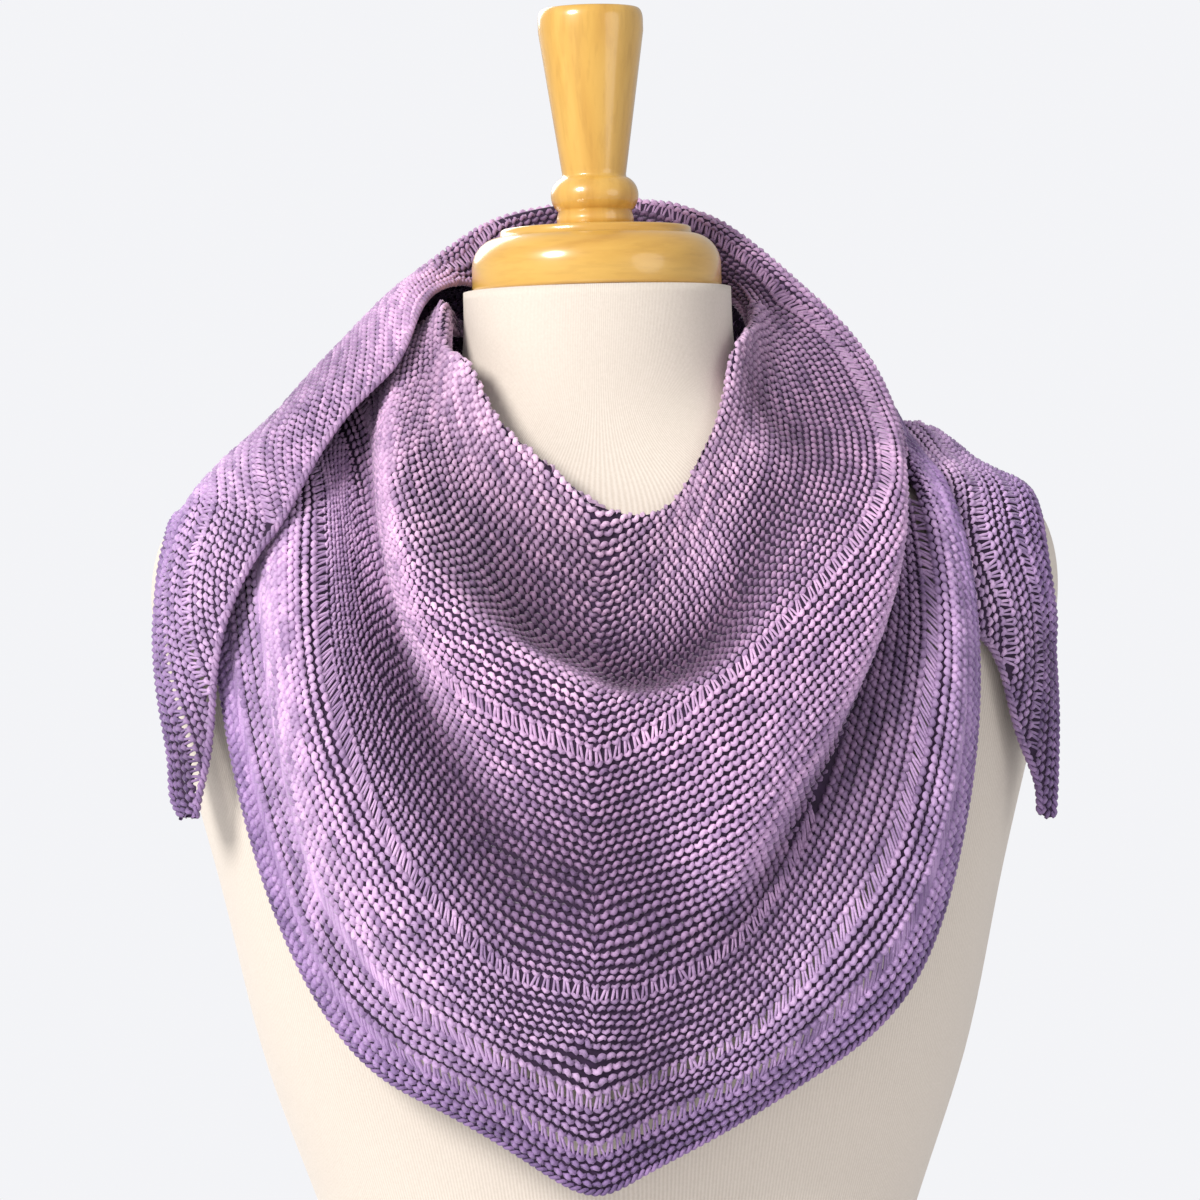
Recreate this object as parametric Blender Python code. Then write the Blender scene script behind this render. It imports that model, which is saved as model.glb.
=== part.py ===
"""A triangular knit scarf worn on a limbless dress form.

The scarf is one continuous sheet. It starts at the point that hangs on the wearer's left, passes round the
back of the neck, crosses the chest as a bib, passes round the back of the neck again and ends in the point that
hangs on the wearer's right. Each row of the tables below is one cross-section of the sheet, from the edge at
the neck to the hem, and each column is one line that runs the whole length of the cloth, such as a fold.

Metres, +Z up, the front of the chest faces -Y. The tables are in millimetres and are scaled on use.
"""

import bpy
import numpy as np
from math import cos, radians, sin
from mathutils import Vector
from mathutils.bvhtree import BVHTree

MM = 0.001

# Cloth
WALL = 3.0
FORM_GAP = 1.2
LAYER_GAP = 2.0
INSIDE_REACH = 40.0
LAYER_REACH = 18.0
PUSH_ROUNDS = 3
SEAM_GAP = 0.8

# Dress form and its wooden neck
FORM_HEIGHT = 661.0
FORM_SEGMENTS = 40
FORM_SQUARENESS = 2.2
RINGS_PER_STATION = 2
SEAT_GAP = 0.3
CAP_BOTTOM = FORM_HEIGHT + SEAT_GAP
CAP_RADIUS = 54.0
CAP_SHOULDER_HEIGHT = 671.0
CAP_SHOULDER_RISE = 13.5
CAP_STEP_RADIUS = 41.5
CAP_TOP = 688.0
CAP_BOTTOM_EDGE = 1.5
CAP_TOP_EDGE = 1.0
HANDLE_BOTTOM = CAP_TOP + SEAT_GAP
HANDLE_TOP = 783.0
HANDLE_RIM_RADIUS = 22.8
HANDLE_RIM_ROUND = (2.5, 5.0)
HANDLE_WAIST = (13.8, 711.0)
HANDLE_BALL = (19.0, 702.0)
HANDLE_BALL_ROUND = (8.0, 8.5)
HANDLE_BALL_ENDS = (68.0, -52.0)
HANDLE_FOOT = (16.7, 4.0)
TURNED_SEGMENTS = 32

# Stations of the form: height, half width, reach of the front, reach of the back.
FORM_STATIONS = [
    (0.0, 163.0, 106.0, 112.0),
    (55.0, 164.0, 107.0, 111.0),
    (130.0, 142.0, 97.0, 87.0),
    (220.0, 118.0, 90.0, 69.0),
    (264.0, 128.0, 95.0, 70.0),
    (329.0, 150.5, 110.0, 76.0),
    (400.0, 167.0, 124.5, 85.0),
    (459.0, 182.0, 114.0, 90.0),
    (505.0, 193.0, 98.0, 92.0),
    (530.0, 196.0, 90.0, 89.0),
    (552.0, 193.0, 80.0, 83.0),
    (566.0, 182.0, 72.0, 77.0),
    (576.0, 158.0, 67.0, 73.0),
    (586.0, 122.0, 62.0, 70.0),
    (598.0, 88.0, 58.0, 66.0),
    (614.0, 66.0, 55.5, 60.0),
    (634.0, 59.0, 55.0, 56.0),
    (FORM_HEIGHT, 58.0, 54.5, 55.0),
]

# The lines of the bib from the neck to the hem, and the steps from each one to the next.
BIB_LINES = {"tuck": 2, "lip": 4, "valley": 4, "crest": 3, "brow": 3, "hollow": 4, "fold": 6, "hem": 0}

# The bib, as sections round the neck at an angle from the front of the chest, in degrees. Each column is
# one of the bib's lines, as (distance from the neck's axis, height).
BIB_SECTIONS = {
    -105: [(64, 645), (66, 653), (72, 648), (82, 643), (97, 631), (112, 619), (128, 607), (146, 595)],
    -88: [(64, 647), (66.5, 657), (71, 652), (79, 645), (97, 630), (116, 613), (138, 598), (163, 577)],
    -73: [(67, 642), (69, 652), (75, 645), (87, 635), (100, 619), (116, 603), (142, 583), (175, 545)],
    -60: [(73, 626), (75, 637), (82, 628), (101, 616), (110, 592), (119, 573), (149, 566), (175, 440)],
    -47: [(74, 618), (77, 629), (92, 603), (120, 582), (124, 550), (126, 521), (164, 494), (155, 350)],
    -33: [(78, 594), (81, 605), (99, 565), (137, 541), (136, 506), (128, 468), (164, 420), (139, 321)],
    -17: [(80, 574), (83, 585), (104, 518), (139, 510), (140, 471), (130, 424), (149, 372), (128, 298)],
    -5: [(81.5, 559), (85, 570), (103, 504), (139, 493), (139.5, 455), (131, 411), (142, 359), (125, 284)],
    4: [(82, 552), (86, 563), (102, 497), (139, 485), (139, 447), (132, 405), (137, 353), (125, 291)],
    18: [(79, 553), (83, 564), (103, 505), (139, 491), (145, 428), (135, 396), (144, 350), (131, 307)],
    32: [(74, 572), (77, 583), (100, 537), (139, 517), (149, 457), (136, 424), (157, 380), (145, 328)],
    46: [(69.5, 597), (72, 607), (88, 577), (143, 548), (156, 510), (140, 478), (167, 425), (165, 361)],
    57: [(66, 619), (68.5, 629), (82, 595), (141, 575), (150, 557), (144, 526), (167, 500), (174, 428)],
    65: [(65, 627), (67, 637), (79, 606), (134, 592), (140, 581), (140, 564), (155, 556), (170, 516)],
    73: [(64.5, 632), (66.5, 641), (77, 618), (127, 605), (132, 597), (135, 588), (140, 585), (144, 579)],
    89: [(65, 638), (67.5, 646), (76, 637), (112, 632), (119, 621), (123, 613), (126, 607), (128, 601)],
    106: [(68, 647), (70.5, 655), (78, 653), (93, 660), (105, 645), (113, 633), (119, 623), (123, 614)],
}

# The lines of both wings, with the steps from each one to the next, which add up to those of the bib.
WING_LINES = {"edge": 6, "inner": 4, "crest": 6, "outer": 10, "hem": 0}

# The wing that leaves the bib at its left end passes close round the back of the neck, under the other one.
INNER_NAPE_SECTIONS = {
    -135: [(62, 646), (66, 634), (73, 621), (86, 610), (104, 601)],
    180: [(59.5, 640), (63, 628), (70, 615), (83, 605), (99, 596)],
    135: [(62, 632), (67, 621), (76, 611), (90, 602), (108, 592)],
}
OUTER_NAPE_SECTIONS = {
    128: [(70, 660), (75, 672), (83, 684), (100, 663), (114, 622)],
    150: [(68, 662), (72, 682), (81, 700), (99, 676), (113, 632)],
    180: [(67, 665), (71, 686), (82, 705), (101, 681), (114, 636)],
    -150: [(67, 665), (71, 683), (81, 698), (99, 675), (112, 632)],
    -135: [(66, 664), (71, 677), (83, 688), (99, 665), (112, 627)],
}

# The two hanging ends, as sections from the shoulder down to the point, in millimetres.
TAIL_RIGHT_SECTIONS = [
    [(84, 36, 606), (104, 36, 603), (125, 36, 597), (137, 44, 588), (145, 56, 576)],
    [(106, -2, 597), (121, 2, 597), (138, 12, 600), (149, 24, 592), (156, 38, 576)],
    [(130, -38, 578), (142, -27, 582), (154, -12, 584), (164, 1, 581), (171, 13, 576)],
    [(142, -65, 548), (154, -59, 551), (167, -50, 554), (178, -42, 552), (186, -33, 546)],
    [(151, -69, 516), (163, -62, 520), (175, -52, 522), (185, -41, 520), (190, -31, 515)],
    [(163, -65, 502), (171, -61, 501), (179, -53, 500), (186, -43, 498), (191, -32, 495)],
    [(170, -62, 480), (176, -58, 479), (182, -51, 478), (187, -45, 477), (191, -38, 475)],
    [(175, -57, 462), (179, -54, 461), (183, -50, 459), (187, -46, 457), (190, -42, 455)],
    [(181, -52, 446), (183, -51, 445), (185, -49, 444), (187, -47, 443), (189, -45, 442)],
    [(182, -50, 432), (183.5, -49, 431), (185, -48, 430), (186.5, -47, 430), (188, -46, 430)],
]
TAIL_LEFT_SECTIONS = [
    [(-59, 32, 668), (-68, 38, 675), (-79, 47, 673), (-92, 58, 652), (-101, 68, 620)],
    [(-76, -14, 656), (-88, 4, 660), (-103, 24, 650), (-116, 40, 628), (-126, 52, 600)],
    [(-86, -46, 631), (-102, -24, 637), (-122, 4, 630), (-137, 22, 611), (-147, 36, 588)],
    [(-105, -60, 611), (-122, -38, 616), (-140, -8, 610), (-154, 10, 594), (-163, 24, 580)],
    [(-123, -74, 585), (-142, -51, 592), (-159, -24, 592), (-170, -6, 582), (-177, 6, 571)],
    [(-136, -82, 562), (-153, -65, 569), (-169, -46, 573), (-180, -34, 566), (-187, -27, 556)],
    [(-148, -85, 546), (-163, -73, 547), (-178, -56, 546), (-187, -42, 541), (-191, -31, 534)],
    [(-160, -84, 520), (-170, -76, 519), (-181, -63, 518), (-188, -50, 516), (-192, -38, 513)],
    [(-165, -82, 492), (-172, -76, 491), (-179, -69, 490), (-185, -60, 488), (-189, -51, 486)],
    [(-168, -79, 466), (-172, -75, 465), (-177, -70, 464), (-181, -65, 463), (-185, -60, 462)],
    [(-172, -76, 450), (-175, -74, 449), (-178, -71, 448), (-181, -68, 448), (-184, -65, 448)],
    [(-174, -74, 440), (-175.5, -73, 440), (-177, -72, 440), (-178.5, -71, 440), (-180, -70, 440)],
]


def material(name, colour, roughness):
    """A plain finish in the part's own colour."""
    made = bpy.data.materials.new(name)
    made.use_nodes = True
    shader = made.node_tree.nodes["Principled BSDF"]
    shader.inputs["Base Color"].default_value = (*colour, 1.0)
    shader.inputs["Roughness"].default_value = roughness
    made.diffuse_color = (*colour, 1.0)
    return made


def add_object(name, mesh, finish):
    """The mesh as a named object in the scene, shaded smooth."""
    mesh.validate()
    mesh.materials.append(finish)
    mesh.shade_smooth()
    made = bpy.data.objects.new(name, mesh)
    bpy.context.scene.collection.objects.link(made)
    return made


def spline(knots, values, at):
    """A natural cubic spline through values at knots, read at the places in at."""
    count = len(knots)
    flat = values.reshape(count, -1)
    step = np.diff(knots)
    slope = np.diff(flat, axis=0) / step[:, None]
    matrix = np.eye(count)
    right = np.zeros_like(flat)
    for i in range(1, count - 1):
        matrix[i, i - 1 : i + 2] = step[i - 1], 2 * (step[i - 1] + step[i]), step[i]
        right[i] = 6 * (slope[i] - slope[i - 1])
    bend = np.linalg.solve(matrix, right)
    low = np.clip(np.searchsorted(knots, at, side="right") - 1, 0, count - 2)
    width = step[low][:, None]
    ahead = (at - knots[low])[:, None]
    behind = width - ahead
    result = (bend[low] * behind**3 + bend[low + 1] * ahead**3) / (6 * width)
    result += (flat[low] / width - bend[low] * width / 6) * behind
    result += (flat[low + 1] / width - bend[low + 1] * width / 6) * ahead
    return result.reshape(len(at), *values.shape[1:])


def chord_knots(points):
    """Spline knots that grow with the root of the distance, which keeps tight folds from overshooting."""
    steps = np.linalg.norm(np.diff(points, axis=0), axis=-1)
    if steps.ndim > 1:
        steps = steps.mean(axis=1)
    return np.concatenate([[0.0], np.cumsum(np.sqrt(steps))])


def between(knots, steps):
    """Places along the knots, with the given number of steps in each stretch."""
    parts = [np.linspace(a, b, n, endpoint=False) for a, b, n in zip(knots[:-1], knots[1:], steps)]
    return np.concatenate([*parts, [knots[-1]]])


def round_neck(angle, pairs):
    """Points at (distance, height) pairs on the plane at this angle round the neck."""
    turn = radians(angle)
    return np.array([(distance * sin(turn), -distance * cos(turn), height) for distance, height in pairs])


def section(points, lines):
    """A smooth section through its points on the named lines, from the neck to the hem."""
    points = np.array(points, float)
    knots = chord_knots(points)
    return spline(knots, points, between(knots, list(lines.values())[:-1]))


def scarf_sections():
    """Every section of the sheet in order, and the index of the section where each stretch begins."""
    inner_nape = [round_neck(angle, pairs) for angle, pairs in reversed(INNER_NAPE_SECTIONS.items())]
    bib = [round_neck(angle, pairs) for angle, pairs in BIB_SECTIONS.items()]
    outer_nape = [round_neck(angle, pairs) for angle, pairs in OUTER_NAPE_SECTIONS.items()]
    stretches = {
        "scarf_tail_right": [section(row, WING_LINES) for row in reversed(TAIL_RIGHT_SECTIONS)],
        "scarf_nape_inner": [section(row, WING_LINES) for row in inner_nape],
        "scarf_front": [section(row, BIB_LINES) for row in bib],
        "scarf_nape_outer": [section(row, WING_LINES) for row in outer_nape],
        "scarf_tail_left": [section(row, WING_LINES) for row in TAIL_LEFT_SECTIONS],
    }
    every = [row for rows in stretches.values() for row in rows]
    starts = {}
    index = 0
    for name, rows in stretches.items():
        starts[name] = index
        index += len(rows)
    return np.array(every), starts


# Each stretch of the sheet: its name, the steps between two sections, how many section points lie from one
# grid point to the next, and the ease that its coarser grid needs over the form's curves.
STRETCHES = [
    ("scarf_tail_right", 2, 2, 2.3),
    ("scarf_nape_inner", 3, 2, 0.3),
    ("scarf_front", 4, 1, 0.5),
    ("scarf_nape_outer", 3, 2, 0.0),
    ("scarf_tail_left", 2, 2, 0.8),
]


# Which stretch lies over which where they cross.
LAYERS = [
    ("scarf_front", "scarf_tail_right"),
    ("scarf_nape_outer", "scarf_nape_inner"),
    ("scarf_nape_outer", "scarf_tail_right"),
    ("scarf_tail_left", "scarf_nape_inner"),
    ("scarf_tail_left", "scarf_front"),
]


def scarf_grids():
    """A grid of points for each stretch, in the middle of the cloth's thickness.

    The nape stretches run from the bib's end sections to the tails' first sections.
    """
    sections, starts = scarf_sections()
    knots = chord_knots(sections)
    cuts = [
        0,
        starts["scarf_nape_inner"] - 1,
        starts["scarf_front"],
        starts["scarf_nape_outer"] - 1,
        starts["scarf_tail_left"],
        len(sections) - 1,
    ]
    spans = np.linalg.norm(np.diff(sections, axis=0), axis=-1).mean(axis=1)
    grids = {}
    for (name, steps, skip, _), first, last in zip(STRETCHES, cuts[:-1], cuts[1:]):
        places = between(knots[first : last + 1], [steps] * (last - first))
        if first > 0:
            places[0] += SEAM_GAP / spans[first] * (knots[first + 1] - knots[first])
        if last < len(sections) - 1:
            places[-1] -= SEAM_GAP / spans[last - 1] * (knots[last] - knots[last - 1])
        grids[name] = spline(knots, sections, places)[:, ::skip]
    return grids


def grid_faces(rows, columns, closed=False):
    """Faces of a grid of points, turned so that they look away from the form."""
    faces = []
    wrap = columns if closed else columns - 1
    for row in range(rows - 1):
        for column in range(wrap):
            beside = (column + 1) % columns
            faces.append(
                (
                    row * columns + column,
                    row * columns + beside,
                    (row + 1) * columns + beside,
                    (row + 1) * columns + column,
                )
            )
    return faces


def softened(change):
    """A field of moves with each one shared with its neighbours, so that a push leaves no kink."""
    padded = np.pad(change, ((1, 1), (1, 1), (0, 0)), mode="edge")
    sides = padded[:-2, 1:-1] + padded[2:, 1:-1] + padded[1:-1, :-2] + padded[1:-1, 2:]
    return 0.5 * change + 0.125 * sides


def push_clear(grid, tree, least, reach, side=1):
    """Moves points that are within reach and less than least above the surface, and eases their neighbours.

    With a side of -1 the points go under the surface instead.
    """
    moved = grid.copy()
    for soften in (True, True, False):
        change = np.zeros_like(moved)
        for index in np.ndindex(moved.shape[:2]):
            point = Vector(moved[index])
            place, normal, _, _ = tree.find_nearest(point, reach)
            if place is None:
                continue
            up = normal * side
            height = (point - place).dot(up)
            beside = (point - place - up * height).length
            if height < least and beside < least:
                change[index] = up * (least - height)
        moved += softened(change) if soften else change
    return moved


def tree_of(grid):
    rows, columns = grid.shape[:2]
    points = [Vector(point) for point in grid.reshape(-1, 3)]
    return BVHTree.FromPolygons(points, grid_faces(rows, columns))


def make_cloth(name, grid, finish):
    """One stretch of cloth: its grid of points, thickened to the wall on both sides."""
    rows, columns = grid.shape[:2]
    mesh = bpy.data.meshes.new(name)
    points = (grid * MM).reshape(-1, 3).tolist()
    mesh.from_pydata(points, [], grid_faces(rows, columns))
    made = add_object(name, mesh, finish)
    wall = made.modifiers.new("wall", "SOLIDIFY")
    wall.thickness = WALL * MM
    wall.offset = 0.0
    return made


def form_rings():
    """Rings of the form from its flat underside to the top of the neck."""
    stations = np.array(FORM_STATIONS)
    heights = stations[:, 0]
    places = between(heights, [RINGS_PER_STATION] * (len(heights) - 1))
    sizes = spline(heights, stations[:, 1:], places)
    rings = []
    for height, (half_width, front, back) in zip(places, sizes):
        ring = []
        for index in range(FORM_SEGMENTS):
            turn = 2 * np.pi * index / FORM_SEGMENTS
            across = np.sign(cos(turn)) * abs(cos(turn)) ** (2 / FORM_SQUARENESS)
            along = np.sign(sin(turn)) * abs(sin(turn)) ** (2 / FORM_SQUARENESS)
            reach = back if along > 0 else front
            ring.append((half_width * across, reach * along, height))
        rings.append(ring)
    return np.array(rings)


def make_form(finish):
    rings = form_rings()
    rows, columns = rings.shape[:2]
    mesh = bpy.data.meshes.new("form_body")
    faces = grid_faces(rows, columns, closed=True)
    bottom = tuple(reversed(range(columns)))
    top = tuple(range((rows - 1) * columns, rows * columns))
    mesh.from_pydata((rings * MM).reshape(-1, 3).tolist(), [], [*faces, bottom, top])
    add_object("form_body", mesh, finish)
    points = [Vector(point) for point in rings.reshape(-1, 3)]
    return BVHTree.FromPolygons(points, [*faces, bottom, top])


def arc(centre, radii, first, last, count):
    """Points along a rounded stretch of a profile, as (distance, height), between two angles in degrees."""
    turns = np.radians(np.linspace(first, last, count))
    return [(centre[0] + radii[0] * cos(turn), centre[1] + radii[1] * sin(turn)) for turn in turns]


def turn_profile(name, profile, finish):
    """A turned piece from its profile, which runs from the top of the axis to the bottom of the axis."""
    mesh = bpy.data.meshes.new(name)
    points = [(distance * MM, 0.0, height * MM) for distance, height in profile]
    mesh.from_pydata(points, [(i, i + 1) for i in range(len(points) - 1)], [])
    made = add_object(name, mesh, finish)
    screw = made.modifiers.new("turning", "SCREW")
    screw.steps = TURNED_SEGMENTS
    screw.render_steps = TURNED_SEGMENTS
    screw.use_merge_vertices = True
    screw.merge_threshold = 0.00005
    screw.use_smooth_shade = True
    return made


def make_cap(finish):
    shoulder_reach = CAP_RADIUS - CAP_STEP_RADIUS
    shoulder_centre = (CAP_STEP_RADIUS, CAP_SHOULDER_HEIGHT)
    profile = [
        (0, CAP_TOP),
        (CAP_STEP_RADIUS - CAP_TOP_EDGE, CAP_TOP),
        (CAP_STEP_RADIUS, CAP_TOP - CAP_TOP_EDGE),
        *arc(shoulder_centre, (shoulder_reach, CAP_SHOULDER_RISE), 90, 0, 7),
        (CAP_RADIUS, CAP_BOTTOM + CAP_BOTTOM_EDGE),
        (CAP_RADIUS - CAP_BOTTOM_EDGE, CAP_BOTTOM),
        (0, CAP_BOTTOM),
    ]
    turn_profile("neck_cap", profile, finish)


def make_handle(finish):
    rim_across, rim_drop = HANDLE_RIM_ROUND
    waist_radius, waist_height = HANDLE_WAIST
    ball_radius, ball_height = HANDLE_BALL
    foot_radius, foot_height = HANDLE_FOOT
    rim_centre = (HANDLE_RIM_RADIUS - rim_across, HANDLE_TOP - rim_drop)
    ball_centre = (ball_radius - HANDLE_BALL_ROUND[0], ball_height)
    profile = [
        (0, HANDLE_TOP),
        *arc(rim_centre, HANDLE_RIM_ROUND, 90, 0, 5),
        (HANDLE_RIM_RADIUS, HANDLE_TOP - 2 * rim_drop),
        (waist_radius, waist_height),
        *arc(ball_centre, HANDLE_BALL_ROUND, *HANDLE_BALL_ENDS, 7),
        (foot_radius, HANDLE_BOTTOM + foot_height),
        (foot_radius, HANDLE_BOTTOM),
        (0, HANDLE_BOTTOM),
    ]
    turn_profile("neck_handle", profile, finish)


def main():
    for old in list(bpy.data.objects):
        bpy.data.objects.remove(old)
    jersey = material("form_jersey", (0.86, 0.80, 0.72), 0.9)
    wood = material("neck_wood", (0.75, 0.50, 0.20), 0.35)
    knit = material("scarf_knit", (0.38, 0.24, 0.45), 0.85)

    form = make_form(jersey)
    make_cap(wood)
    make_handle(wood)

    grids = scarf_grids()
    on_form = {name: WALL / 2 + FORM_GAP + ease for name, _, _, ease in STRETCHES}
    on_cloth = WALL + LAYER_GAP
    for name in grids:
        grids[name] = push_clear(grids[name], form, on_form[name], INSIDE_REACH)
    for _ in range(PUSH_ROUNDS):
        for upper, lower in LAYERS:
            grids[lower] = push_clear(grids[lower], tree_of(grids[upper]), on_cloth, LAYER_REACH, side=-1)
            grids[lower] = push_clear(grids[lower], form, on_form[lower], INSIDE_REACH)
            grids[upper] = push_clear(grids[upper], tree_of(grids[lower]), on_cloth, LAYER_REACH)
    for name, grid in grids.items():
        make_cloth(name, grid, knit)


main()
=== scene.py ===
"""Looks of the knit scarf on its dress form: yarn rows, open stitches, jersey and turned wood.

Metres, +Z up, the front of the chest faces -Y. The tables are in millimetres and are scaled on use.
"""

from math import cos, radians, sin

import bpy
import numpy as np
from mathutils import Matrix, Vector
from mathutils.bvhtree import BVHTree


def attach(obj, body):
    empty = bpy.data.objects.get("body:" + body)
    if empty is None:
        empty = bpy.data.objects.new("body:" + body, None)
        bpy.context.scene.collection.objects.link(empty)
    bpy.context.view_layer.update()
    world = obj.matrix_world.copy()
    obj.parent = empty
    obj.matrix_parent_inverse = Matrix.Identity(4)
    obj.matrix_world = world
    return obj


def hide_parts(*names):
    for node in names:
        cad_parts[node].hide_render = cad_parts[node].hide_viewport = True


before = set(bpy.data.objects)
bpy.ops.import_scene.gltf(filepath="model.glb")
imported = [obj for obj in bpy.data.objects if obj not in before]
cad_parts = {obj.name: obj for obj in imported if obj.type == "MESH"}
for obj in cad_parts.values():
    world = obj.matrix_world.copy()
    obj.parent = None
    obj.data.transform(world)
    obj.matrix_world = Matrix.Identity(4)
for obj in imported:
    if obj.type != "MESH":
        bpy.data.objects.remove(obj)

MM = 0.001

# Cloth
WALL = 3.0
FORM_GAP = 1.2
LAYER_GAP = 2.0
INSIDE_REACH = 40.0
LAYER_REACH = 18.0
PUSH_ROUNDS = 3
SEAM_GAP = 0.8

# Dress form and its wooden neck
FORM_HEIGHT = 661.0
FORM_SEGMENTS = 40
FORM_SQUARENESS = 2.2
RINGS_PER_STATION = 2
SEAT_GAP = 0.3
CAP_BOTTOM = FORM_HEIGHT + SEAT_GAP
CAP_RADIUS = 54.0
CAP_SHOULDER_HEIGHT = 671.0
CAP_SHOULDER_RISE = 13.5
CAP_STEP_RADIUS = 41.5
CAP_TOP = 688.0
CAP_BOTTOM_EDGE = 1.5
CAP_TOP_EDGE = 1.0
HANDLE_BOTTOM = CAP_TOP + SEAT_GAP
HANDLE_TOP = 783.0
HANDLE_RIM_RADIUS = 22.8
HANDLE_RIM_ROUND = (2.5, 5.0)
HANDLE_WAIST = (13.8, 711.0)
HANDLE_BALL = (19.0, 702.0)
HANDLE_BALL_ROUND = (8.0, 8.5)
HANDLE_BALL_ENDS = (68.0, -52.0)
HANDLE_FOOT = (16.7, 4.0)

# Stations of the form: height, half width, reach of the front, reach of the back.
FORM_STATIONS = [
    (0.0, 163.0, 106.0, 112.0),
    (55.0, 164.0, 107.0, 111.0),
    (130.0, 142.0, 97.0, 87.0),
    (220.0, 118.0, 90.0, 69.0),
    (264.0, 128.0, 95.0, 70.0),
    (329.0, 150.5, 110.0, 76.0),
    (400.0, 167.0, 124.5, 85.0),
    (459.0, 182.0, 114.0, 90.0),
    (505.0, 193.0, 98.0, 92.0),
    (530.0, 196.0, 90.0, 89.0),
    (552.0, 193.0, 80.0, 83.0),
    (566.0, 182.0, 72.0, 77.0),
    (576.0, 158.0, 67.0, 73.0),
    (586.0, 122.0, 62.0, 70.0),
    (598.0, 88.0, 58.0, 66.0),
    (614.0, 66.0, 55.5, 60.0),
    (634.0, 59.0, 55.0, 56.0),
    (FORM_HEIGHT, 58.0, 54.5, 55.0),
]

# The lines of the bib from the neck to the hem, and the steps from each one to the next.
BIB_LINES = {"tuck": 2, "lip": 4, "valley": 4, "crest": 3, "brow": 3, "hollow": 4, "fold": 6, "hem": 0}

# The bib, as sections round the neck at an angle from the front of the chest, in degrees. Each column is
# one of the bib's lines, as (distance from the neck's axis, height).
BIB_SECTIONS = {
    -105: [(64, 645), (66, 653), (72, 648), (82, 643), (97, 631), (112, 619), (128, 607), (146, 595)],
    -88: [(64, 647), (66.5, 657), (71, 652), (79, 645), (97, 630), (116, 613), (138, 598), (163, 577)],
    -73: [(67, 642), (69, 652), (75, 645), (87, 635), (100, 619), (116, 603), (142, 583), (175, 545)],
    -60: [(73, 626), (75, 637), (82, 628), (101, 616), (110, 592), (119, 573), (149, 566), (175, 440)],
    -47: [(74, 618), (77, 629), (92, 603), (120, 582), (124, 550), (126, 521), (164, 494), (155, 350)],
    -33: [(78, 594), (81, 605), (99, 565), (137, 541), (136, 506), (128, 468), (164, 420), (139, 321)],
    -17: [(80, 574), (83, 585), (104, 518), (139, 510), (140, 471), (130, 424), (149, 372), (128, 298)],
    -5: [(81.5, 559), (85, 570), (103, 504), (139, 493), (139.5, 455), (131, 411), (142, 359), (125, 284)],
    4: [(82, 552), (86, 563), (102, 497), (139, 485), (139, 447), (132, 405), (137, 353), (125, 291)],
    18: [(79, 553), (83, 564), (103, 505), (139, 491), (145, 428), (135, 396), (144, 350), (131, 307)],
    32: [(74, 572), (77, 583), (100, 537), (139, 517), (149, 457), (136, 424), (157, 380), (145, 328)],
    46: [(69.5, 597), (72, 607), (88, 577), (143, 548), (156, 510), (140, 478), (167, 425), (165, 361)],
    57: [(66, 619), (68.5, 629), (82, 595), (141, 575), (150, 557), (144, 526), (167, 500), (174, 428)],
    65: [(65, 627), (67, 637), (79, 606), (134, 592), (140, 581), (140, 564), (155, 556), (170, 516)],
    73: [(64.5, 632), (66.5, 641), (77, 618), (127, 605), (132, 597), (135, 588), (140, 585), (144, 579)],
    89: [(65, 638), (67.5, 646), (76, 637), (112, 632), (119, 621), (123, 613), (126, 607), (128, 601)],
    106: [(68, 647), (70.5, 655), (78, 653), (93, 660), (105, 645), (113, 633), (119, 623), (123, 614)],
}

# The lines of both wings, with the steps from each one to the next, which add up to those of the bib.
WING_LINES = {"edge": 6, "inner": 4, "crest": 6, "outer": 10, "hem": 0}

# The wing that leaves the bib at its left end passes close round the back of the neck, under the other one.
INNER_NAPE_SECTIONS = {
    -135: [(62, 646), (66, 634), (73, 621), (86, 610), (104, 601)],
    180: [(59.5, 640), (63, 628), (70, 615), (83, 605), (99, 596)],
    135: [(62, 632), (67, 621), (76, 611), (90, 602), (108, 592)],
}
OUTER_NAPE_SECTIONS = {
    128: [(70, 660), (75, 672), (83, 684), (100, 663), (114, 622)],
    150: [(68, 662), (72, 682), (81, 700), (99, 676), (113, 632)],
    180: [(67, 665), (71, 686), (82, 705), (101, 681), (114, 636)],
    -150: [(67, 665), (71, 683), (81, 698), (99, 675), (112, 632)],
    -135: [(66, 664), (71, 677), (83, 688), (99, 665), (112, 627)],
}

# The two hanging ends, as sections from the shoulder down to the point, in millimetres.
TAIL_RIGHT_SECTIONS = [
    [(84, 36, 606), (104, 36, 603), (125, 36, 597), (137, 44, 588), (145, 56, 576)],
    [(106, -2, 597), (121, 2, 597), (138, 12, 600), (149, 24, 592), (156, 38, 576)],
    [(130, -38, 578), (142, -27, 582), (154, -12, 584), (164, 1, 581), (171, 13, 576)],
    [(142, -65, 548), (154, -59, 551), (167, -50, 554), (178, -42, 552), (186, -33, 546)],
    [(151, -69, 516), (163, -62, 520), (175, -52, 522), (185, -41, 520), (190, -31, 515)],
    [(163, -65, 502), (171, -61, 501), (179, -53, 500), (186, -43, 498), (191, -32, 495)],
    [(170, -62, 480), (176, -58, 479), (182, -51, 478), (187, -45, 477), (191, -38, 475)],
    [(175, -57, 462), (179, -54, 461), (183, -50, 459), (187, -46, 457), (190, -42, 455)],
    [(181, -52, 446), (183, -51, 445), (185, -49, 444), (187, -47, 443), (189, -45, 442)],
    [(182, -50, 432), (183.5, -49, 431), (185, -48, 430), (186.5, -47, 430), (188, -46, 430)],
]
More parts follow.
